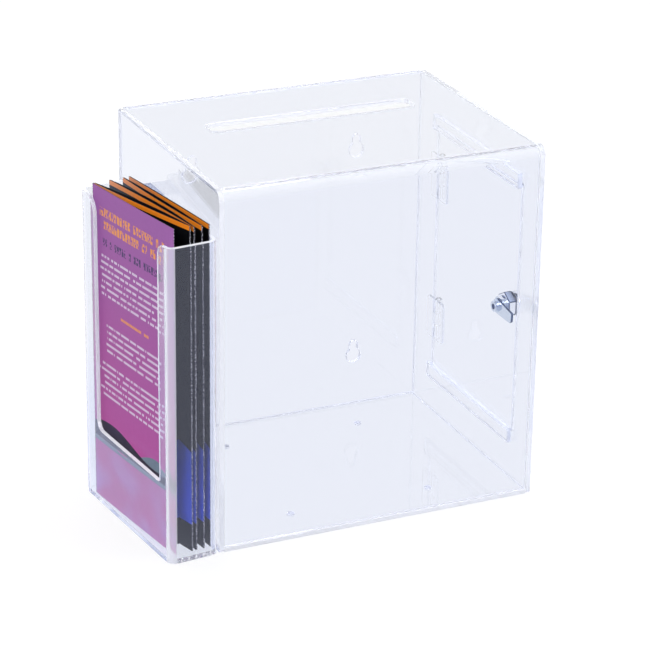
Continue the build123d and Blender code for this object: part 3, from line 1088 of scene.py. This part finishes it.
@dataclass
class BrochurePocket:
    """Clear moulded pocket on the left side, open at its top and cut down in front, on two tapered blocks.

    Flanges are the widths left standing at the near and far end of the cut, lip the height that it is cut
    down to, and rounds its radii, from the near flange's top round to the far one's.
    """

    clear: Material
    scraped: Material
    origin: Triple = (-106.8, -84.0, 0.5)
    yaw: float = 5.5
    width: float = 119.0
    depth: float = 33.5
    height: float = 203.0
    wall: float = 2.5
    corner: float = 6.0
    foot: float = 2.2
    flanges: Point = (14.0, 20.0)
    lip: float = 50.0
    rounds: tuple[float, float, float, float] = (7.0, 1.5, 6.0, 12.0)
    edge: float = 0.5
    rim_corner: float = 55.0
    weld: float = 1e-3

    def place(self) -> Matrix:
        """Placing matrix of the pocket's drawing: X runs back along its width and Y away from the box."""
        turn = radians(self.yaw)
        return axes(self.origin, (-sin(turn), cos(turn), 0), (-cos(turn), -sin(turn), 0))

    def tray(self) -> BMesh:
        """Make the closed tray: outer walls and floor with a hollow pushed down into it.

        Returns:
            The tray's mesh.
        """
        centre = (self.width / 2, self.depth / 2)
        outline = rounded_box(centre, (self.width, self.depth), [self.corner] * 4, steps=8)
        mesh = plate(outline, self.height, slots=(0, 0))
        foot = [e for e in turned_edges(mesh) if max(v.co.z for v in e.verts) < SLACK]
        soften(mesh, foot, self.foot, steps=4)
        bmesh.ops.dissolve_faces(mesh, faces=[f for f in mesh.faces if f.normal.z > LEVEL])
        top = [f for f in mesh.faces if f.normal.z > LEVEL]
        bmesh.ops.inset_region(mesh, faces=top, thickness=self.wall, depth=0.0, use_even_offset=True)
        middle = [f for f in mesh.faces if f.normal.z > LEVEL and len(f.verts) > 4]
        pushed = bmesh.ops.extrude_discrete_faces(mesh, faces=middle)
        sunk = {v for f in pushed["faces"] for v in f.verts}
        bmesh.ops.translate(mesh, verts=list(sunk), vec=(0, 0, self.wall - self.height))
        return mesh

    def cut_front(self, mesh: BMesh) -> None:
        """Cut the front wall down to its lip between the two flanges, and round the cut's corners.

        Args:
            mesh: the tray.
        """
        near, far = self.flanges[0], self.width - self.flanges[1]
        behind = self.depth - self.wall - SLACK
        cuts = (((near, 0, 0), (1, 0, 0)), ((far, 0, 0), (1, 0, 0)), ((0, 0, self.lip), (0, 0, 1)))
        for spot, square in cuts:
            split(mesh, spot, square)
        gone = []
        for face in mesh.faces:
            x, y, z = face.calc_center_median()
            if near < x < far and y > behind and z > self.lip:
                gone.append(face)
        bmesh.ops.delete(mesh, geom=gone, context="FACES")
        front = self.depth - SLACK
        outer = [e for e in mesh.edges if e.is_boundary and min(v.co.y for v in e.verts) > front]
        inner = [e for e in mesh.edges if e.is_boundary and max(v.co.y for v in e.verts) < front]
        bmesh.ops.bridge_loops(mesh, edges=outer + inner)
        bmesh.ops.recalc_face_normals(mesh, faces=list(mesh.faces))
        corners = ((near, self.height), (near, self.lip), (far, self.lip), (far, self.height))
        for (x, z), radius in zip(corners, self.rounds):
            across = [
                e for e in mesh.edges
                if all(hypot(v.co.x - x, v.co.z - z) < SLACK and v.co.y > behind for v in e.verts)
            ]
            soften(mesh, across, radius, steps=8)

    def milky(self, face: BMFace) -> bool:
        """Whether a face scatters light: at the near corner, the foot's rounding, a cut edge or the rim.

        Args:
            face: face of the pocket, in its drawing.

        Returns:
            Whether it does.
        """
        slant, upright = 0.15, 0.3
        x, y, z = face.calc_center_median()
        back, out, up = face.normal
        in_corner = x < self.corner and y > self.depth - self.corner and back < -slant and out > slant
        in_foot = z < self.foot and abs(up) < LEVEL
        above_lip = z > self.lip - 2 * self.edge
        on_cut = above_lip and y > self.depth - self.wall and abs(out) < upright
        return in_corner or in_foot or on_cut or above_lip and up > LEVEL

    def build(self) -> None:
        """Build the pocket."""
        mesh = self.tray()
        self.cut_front(mesh)
        bmesh.ops.remove_doubles(mesh, verts=list(mesh.verts), dist=self.weld)
        above_floor = self.wall + self.edge
        rim = [e for e in turned_edges(mesh, self.rim_corner) if max(v.co.z for v in e.verts) > above_floor]
        softened = set(soften(mesh, rim, self.edge, steps=3))
        put_in_slots(mesh, lambda face: face in softened or self.milky(face))
        finishes = [self.clear, self.scraped]
        finish_piece(
            "leaflet_pocket", "brochure_pocket", mesh, self.place(), "box", finishes
        )


class Page(IntEnum):
    """Kinds of page in a leaflet, and the cut edge, in the order of its material slots."""

    HEADED = 0
    BLACK = 1
    COVER = 2
    BLANK = 3
    EDGE = 4


@dataclass(frozen=True)
class Ply:
    """One thickness of paper in a leaflet, in the pocket's drawing.

    Its ends are given as distances from the pocket's back, at the front end and at the back end. Face and
    rear are its outward and inward pages.
    """

    front: float
    back: float
    bow: float
    face: Page = Page.HEADED
    rear: Page = Page.BLACK
    thick: float = 0.26


@dataclass
class Leaflet:
    """A folded leaflet standing in the pocket: its plies and the fold that joins the first two.

    Short says how far its trimmed head stands below the full height, at its near and its far end. Start is
    how far it stands from the pocket's near end, and columns and rows are the faces across and up a page.
    """

    name: str
    plies: tuple[Ply, ...]
    pages: list[Material]
    short: Point = (1.5, 3.2)
    start: float = 7.0
    width: float = LEAFLET[0]
    height: float = LEAFLET[1]
    foot: float = 2.6
    columns: int = 22
    rows: int = 12

    def ply(self, ply: Ply) -> BMesh:
        """Make one thickness of paper, with the place on the page kept as a UV map.

        Args:
            ply: where the thickness stands.

        Returns:
            The mesh, its faces in their pages' slots and its edges in the worn edge's, but for the head's.
        """
        mesh = bmesh.new()
        page = mesh.loops.layers.uv.new("page")
        bmesh.ops.create_grid(mesh, x_segments=self.columns, y_segments=self.rows, size=0.5)
        for face in mesh.faces:
            for loop in face.loops:
                x, y, _ = loop.vert.co
                loop[page].uv = ((0.5 - x) * self.width / PAGE_UNIT, (y + 0.5) * self.height / PAGE_UNIT)
        for point in mesh.verts:
            along, up = point.co.x + 0.5, point.co.y + 0.5
            out = ply.front + (ply.back - ply.front) * along + ply.bow * 4 * along * (1 - along)
            tall = self.height - self.short[0] - (self.short[1] - self.short[0]) * along
            point.co = (self.start + self.width * along, out, self.foot + tall * up)
        bmesh.ops.reverse_faces(mesh, faces=list(mesh.faces))
        mesh.normal_update()
        outward = set(mesh.faces)
        bmesh.ops.solidify(mesh, geom=list(mesh.faces), thickness=ply.thick)
        mesh.normal_update()
        # A page's faces are far larger than those along its edges, of which the head's stay black
        cell, upward = self.width / self.columns * self.height / self.rows, 0.7
        for face in mesh.faces:
            if face.calc_area() > cell / 3:
                face.material_index = ply.face if face in outward else ply.rear
            else:
                face.material_index = Page.BLACK if face.normal.z > upward else Page.EDGE
        return mesh

    def build(self, place: Matrix, body: str) -> None:
        """Build the leaflet.

        Args:
            place: the pocket's placing matrix.
            body: body, and frame node, of this leaflet.
        """
        first, second = self.plies[:2]
        end, tuck = self.start + self.width, 0.05
        middle, radius = (first.back + second.back) / 2, abs(first.back - second.back) / 2
        bend = arc((end, middle), radius + first.thick / 2, pi / 2, -pi, steps=8)
        outline = [*bend, (end - tuck, middle - radius), (end - tuck, middle + radius)]
        fold = plate(outline, self.height - self.short[1], slots=(Page.EDGE, Page.EDGE))
        mesh = joined(*(self.ply(ply) for ply in self.plies), raised(fold, self.foot))
        finish_piece(self.name, body, mesh, place, body, self.pages, FINE_CORNER)


# Studio


@dataclass(frozen=True)
class StudioFloor(Finish):
    """Matt pale paint that shows as white: it glows for the camera and in mirrors, and keeps shadows.

    Seen through clear plastic it is plain white. In front of the box its mirror image is bluish, as the
    panels mirror it on their outer faces; the image fades out over the levels of Y, in metres.
    """

    paint: str = "#8c8c8e"
    image: str = "#aebfff"
    fade: Point = (0.15, 0.25)
    glow: float = 0.7
    mirrored_glow: float = 0.15

    def shader(self, add: Add) -> Node:
        """Add the paint, its glow and what it is through clear plastic.

        Args:
            add: adds a node to the material's tree.

        Returns:
            The mixed shader.
        """
        path = add("LightPath").outputs
        mirror = path["Is Glossy Ray"]
        seen = add("Math", [path["Is Camera Ray"], mirror], operation="MAXIMUM")
        power = add("Math", [mirror, self.mirrored_glow, self.glow], operation="MULTIPLY_ADD")
        lift = add("Math", [seen, power], operation="MULTIPLY")
        spot = add("TexCoord").outputs["Object"]
        along = add("SeparateXYZ", [spot]).outputs["Y"]
        front = add("MapRange", [along, *self.fade, 1.0, 0.0])
        outside = add("Math", [path["Transmission Depth"], 0.5], operation="LESS_THAN")
        mirrored = add("Math", [outside, mirror], operation="MULTIPLY")
        bluish = add("Math", [front, mirrored], operation="MULTIPLY")
        cool = add("Mix", {"Factor": bluish, "A": WHITE, "B": linear(self.image)}, data_type="RGBA")
        glow = add("Emission", {"Color": cool, "Strength": lift})
        matt = add("BsdfDiffuse", {"Color": linear(self.paint)})
        both = add("AddShader", [glow, matt])
        through = add("Emission", {"Color": WHITE, "Strength": 1.0})
        return add("MixShader", [path["Is Transmission Ray"], both, through])


@dataclass(frozen=True)
class Lamp:
    """A soft square lamp: place and size in metres, power in watts."""

    name: str
    place: Triple
    size: float
    power: float
    colour: str = "#ffffff"
    aim: Triple = (0.0, 0.0, 0.12)

    def hang(self) -> None:
        """Hang the lamp, turned to the middle of the box."""
        light = bpy.data.lights.new(self.name, "AREA")
        light.shape, light.size, light.energy = "SQUARE", self.size, self.power
        light.color = linear(self.colour)[:3]
        lamp = bpy.data.objects.new(self.name, light)
        bpy.context.scene.collection.objects.link(lamp)
        lamp.location = self.place
        lamp.rotation_euler = (Vector(self.aim) - Vector(self.place)).to_track_quat("-Z", "Y").to_euler()


@dataclass
class Studio:
    """Pale floor, white surroundings and soft lamps round the box.

    The floor lies a little under the box, so that the two faces don't fight. The surroundings turn white over
    two ranges of direction, backwards and upwards. The ceiling's marks are colours by the height of their
    direction: a pale room with a dark opening high up, for one mirror image.
    """

    floor_size: float = 6.0
    floor_drop: float = 0.0002
    room: str = "#d3d6e6"
    white_behind: Point = (-0.6, 0.1)
    white_above: Point = (0.25, 0.7)
    ceiling: tuple[tuple[float, str], ...] = (
        (0.0, "#cfd6ea"), (0.2, "#ffffff"), (0.58, "#ffffff"), (0.68, "#1a2340"), (0.85, "#0d142b"),
        (0.9, "#a9b8d6"), (1.0, "#c4cfe4"),
    )
    lamps: tuple[Lamp, ...] = (
        Lamp("key_lamp", (-1.6, -1.5, 2.2), 1.4, 32.0),
        Lamp("fill_lamp", (1.9, -1.2, 1.5), 1.2, 15.0, "#f4f6ff"),
        Lamp("back_lamp", (0.2, 1.8, 2.0), 1.6, 12.0),
    )
    bounces: int = 220
    glossy_bounces: int = 200
    clear_bounces: int = 64

    def build_floor(self) -> None:
        """Make the pale floor, which keeps the object's shadow and shows as white."""
        mesh = bmesh.new()
        bmesh.ops.create_grid(mesh, x_segments=1, y_segments=1, size=self.floor_size / 2)
        data = bpy.data.meshes.new("floor")
        mesh.to_mesh(data)
        mesh.free()
        data.materials.append(StudioFloor("painted studio floor").material())
        floor = bpy.data.objects.new("floor", data)
        bpy.context.scene.collection.objects.link(floor)
        floor.location.z = -self.floor_drop

    def build_world(self) -> None:
        """Make the surroundings: white behind and above the object, a dimmer room elsewhere.

        The ceiling's marks show only in the image that a panel mirrors inside the box: to rays that have
        crossed one panel on their way in, been mirrored once, and crossed one panel on their way out, which
        makes four faces.
        """
        world = bpy.data.worlds.new("studio")
        bpy.context.scene.world = world
        world.use_nodes = True
        world.node_tree.nodes.clear()
        add = partial(add_node, world.node_tree)
        path = add("LightPath").outputs
        where = add("TexCoord").outputs["Generated"]
        parts = add("SeparateXYZ", [where]).outputs
        behind = add("MapRange", [parts["Y"], *self.white_behind], interpolation_type="SMOOTHSTEP")
        above = add("MapRange", [parts["Z"], *self.white_above], interpolation_type="SMOOTHSTEP")
        bright = add("Math", [behind, above], operation="MAXIMUM")
        seen = add("Math", [bright, path["Is Camera Ray"]], operation="MAXIMUM")
        room = add("Mix", {"Factor": seen, "A": linear(self.room), "B": WHITE}, data_type="RGBA")
        ceiling = add("ValToRGB", {"Fac": parts["Z"]})
        marks = ceiling.color_ramp.elements
        marks[1].position = self.ceiling[1][0]
        for place, _ in self.ceiling[2:]:
            marks.new(place)
        for mark, (_, code) in zip(marks, self.ceiling):
            mark.color = linear(code)
        mirrorings, faces, margin = 1.0, 4.0, 0.1
        once = add("Math", [path["Glossy Depth"], mirrorings, margin], operation="COMPARE")
        inside = add("Math", [path["Transmission Depth"], faces, margin], operation="COMPARE")
        image = add("Math", [once, inside], operation="MULTIPLY")
        shade = add("Mix", {"Factor": image, "A": room, "B": ceiling}, data_type="RGBA")
        back = add("Background", {"Color": shade, "Strength": 1.0})
        add("OutputWorld", {"Surface": back})

    def build(self) -> None:
        """Build the floor, the surroundings and the lamps, with enough bounces for stacked clear panels."""
        self.build_floor()
        self.build_world()
        for lamp in self.lamps:
            lamp.hang()
        scene = bpy.context.scene
        scene.view_settings.view_transform = "Standard"
        scene.cycles.max_bounces = scene.cycles.transmission_bounces = self.bounces
        scene.cycles.glossy_bounces = self.glossy_bounces
        scene.cycles.transparent_max_bounces = self.clear_bounces
        log.info("studio built")


@dataclass
class PhotoCamera:
    """Camera at the photograph's viewing angle: its place, its lines of sight, its roll and its lens."""

    place: Triple = (-0.6635, -1.4411, 0.7694)
    right: Triple = (0.9084, -0.4180, 0.0)
    above: Triple = (0.1624, 0.3529, 0.9215)
    ahead: Triple = (0.3852, 0.8371, -0.3885)
    roll: float = -0.86
    lens: float = 150.8
    sensor: float = 36.0
    clip: Point = (0.05, 50.0)

    def build(self) -> None:
        """Make the camera and set it as the scene's."""
        data = bpy.data.cameras.new("photo_camera")
        data.sensor_width, data.lens = self.sensor, self.lens
        data.clip_start, data.clip_end = self.clip
        camera = bpy.data.objects.new("photo_camera", data)
        bpy.context.scene.collection.objects.link(camera)
        tilt = radians(self.roll)
        right, above = Vector(self.right), Vector(self.above)
        x = right * cos(tilt) - above * sin(tilt)
        y = right * sin(tilt) + above * cos(tilt)
        turn = Matrix((x, y, -Vector(self.ahead))).transposed()
        camera.rotation_mode = "QUATERNION"
        camera.rotation_quaternion = turn.to_quaternion()
        camera.location = self.place
        bpy.context.scene.camera = camera
        log.info("camera placed")


def dress_nodes(nodes: dict[str, Object], start: str, finish: Material) -> None:
    """Give frame nodes that stay a finish of their own.

    Args:
        nodes: the frame's nodes by name.
        start: how the names of the nodes to dress start.
        finish: their material.
    """
    for name, node in nodes.items():
        if name.startswith(start):
            for held in node.material_slots:
                held.material = finish
            log.info("%s: dressed with %s", name, finish.name)


def build_box() -> None:
    """Build the shell, the door and the lock in their finishes."""
    # Cast acrylic, polished on its faces: what lies behind shows through with a cool cast, which is deeper
    # in the front and top and in the left side
    deep = ClearPlastic("cast acrylic sheet, deep cast", "#eff1f9").material()
    pale = ClearPlastic("cast acrylic sheet, pale cast", "#fbfcfd").material()
    # Its edges, flamed smooth after sawing, keep a little haze, so they show pale and milky
    edge = {"roughness": 0.02, "wave_mm": 6.0, "wave_height": 0.002}
    flamed = ClearPlastic("flame-polished acrylic edge", "#f9fafe", milk=0.35, **edge).material()
    # Edges that are cemented to a neighbour stay as sawn, so they scatter more
    glued = ClearPlastic("sawn and cemented acrylic edge", "#fdfdff", milk=0.65, **edge).material()
    # Bending the sheet over a hot wire leaves a faint bloom along the bend
    bloom = ClearPlastic("heat-bent acrylic", "#f2f4fb", milk=0.06).material()
    # The narrow stops show as pale outlines, so this index is under the real 1.49 and bends light less
    strip = ClearPlastic("thin cast acrylic strip", "#fefefe", ior=1.22).material()
    # Chrome on polished zinc is a cool mirror, and bright zinc on rolled steel is bluer and duller
    chrome = PlatedMetal("chrome plate on die-cast zinc", "#f2f4f9", roughness=0.05, grain_mm=0.8).material()
    # The steel finish also serves as painted shade in the housing's thread roots
    steel = PlatedMetal("zinc plate on pressed steel", "#d5dde8", roughness=0.09, grain_mm=0.6).material()
    # Rims, chamfers and socket walls take a dark blue metal: painted dark reflection and shade, seen as lines
    painted_dark_reflection_and_shade = PlatedMetal("painted dark reflection and shade on plating", "#45597f", roughness=0.22, grain_mm=0.6).material()
    # No light reaches the slot behind the keyway, so it is near black
    dark = DeepShade("unlit keyway", "#0b0c10").material()
    BoxShell(pale=pale, flamed=flamed, deep=deep, glued=glued, bloom=bloom).build()
    Door(pale=pale, flamed=flamed, strip=strip).build()
    CamLock(chrome, steel, painted_dark_reflection_and_shade, dark).build()


def build_pocket(nodes: dict[str, Object]) -> None:
    """Build the pocket and its leaflets, and dress the fittings that stay.

    Args:
        nodes: the frame's nodes by name.
    """
    # Styrene moulded in a polished tool is clear, with soft swells that waver what lies behind
    wave = {"ior": 1.5, "wave_mm": 30.0}
    moulded = ClearPlastic("injection-moulded clear styrene", "#f5f7fd", **wave).material()
    # Rims scraped clean of flash scatter half of the light, so they draw soft white lines
    wave = {"roughness": 0.01, "wave_height": 0.002, "milk": 0.5, **wave}
    rim = ClearPlastic("scraped styrene rim", "#f6f8fe", **wave).material()
    pocket = BrochurePocket(moulded, rim)
    pocket.build()
    # Offset print on coated stock: flat, slightly shiny colour
    cover = CoverPrint("offset-printed cover").material()
    headed = InnerPrint("offset-printed page with a coloured head").material()
    black = InnerPrint("offset-printed black page", band="#07070b", band_in_painted_curl_light="#2a2c36").material()
    # The last page's back faces the box and is left unprinted, as its pale mirror image in the acrylic shows
    bare = dict.fromkeys(("ground", "painted_curl_light", "band", "band_in_painted_curl_light", "field"), "#fbfbff")
    blank = InnerPrint("uncoated back page", **bare).material()
    # Handling wears the dark print off cut edges and folds, down to specks of the white stock
    worn = CutEdge("worn paper edge").material()
    pages = [headed, black, cover, blank, worn]
    opened = (Ply(25.95, 30.2, 0.34, Page.COVER), Ply(15.9, 29.2, 0.85), Ply(15.4, 28.8, -2.2, Page.BLACK))
    second = (Ply(13.15, 19.1, -0.85), Ply(12.6, 18.55, -2.9, Page.BLACK))
    third = (Ply(8.05, 10.05, 0.85), Ply(7.5, 9.5, -1.0, Page.BLACK))
    fourth = (Ply(3.45, 5.95, -0.3), Ply(2.95, 5.4, -0.6, Page.BLACK, Page.BLANK))
    stack = (
        Leaflet("open_leaflet", opened, pages, (0.3, 3.4)),
        Leaflet("second_leaflet", second, pages),
        Leaflet("third_leaflet", third, pages),
        Leaflet("fourth_leaflet", fourth, pages),
    )
    for number, leaflet in enumerate(stack, 1):
        leaflet.build(pocket.place(), f"leaflet_{number}")
    # The hinges' index is under the real 1.49, as their thin leaves show as pale outlines only
    small = ClearPlastic("clear moulded fitting", "#fefefe", ior=1.3, wave_mm=9.0).material()
    dress_nodes(nodes, "hinge", small)
    dress_nodes(nodes, "pocket_block", moulded)


def main() -> None:
    """Build the looks in order."""
    logging.basicConfig(level=logging.INFO, format="%(message)s")
    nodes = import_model()["nodes"]
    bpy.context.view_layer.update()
    PhotoCamera().build()
    Studio().build()
    build_box()
    build_pocket(nodes)


if __name__ == "__main__":
    main()
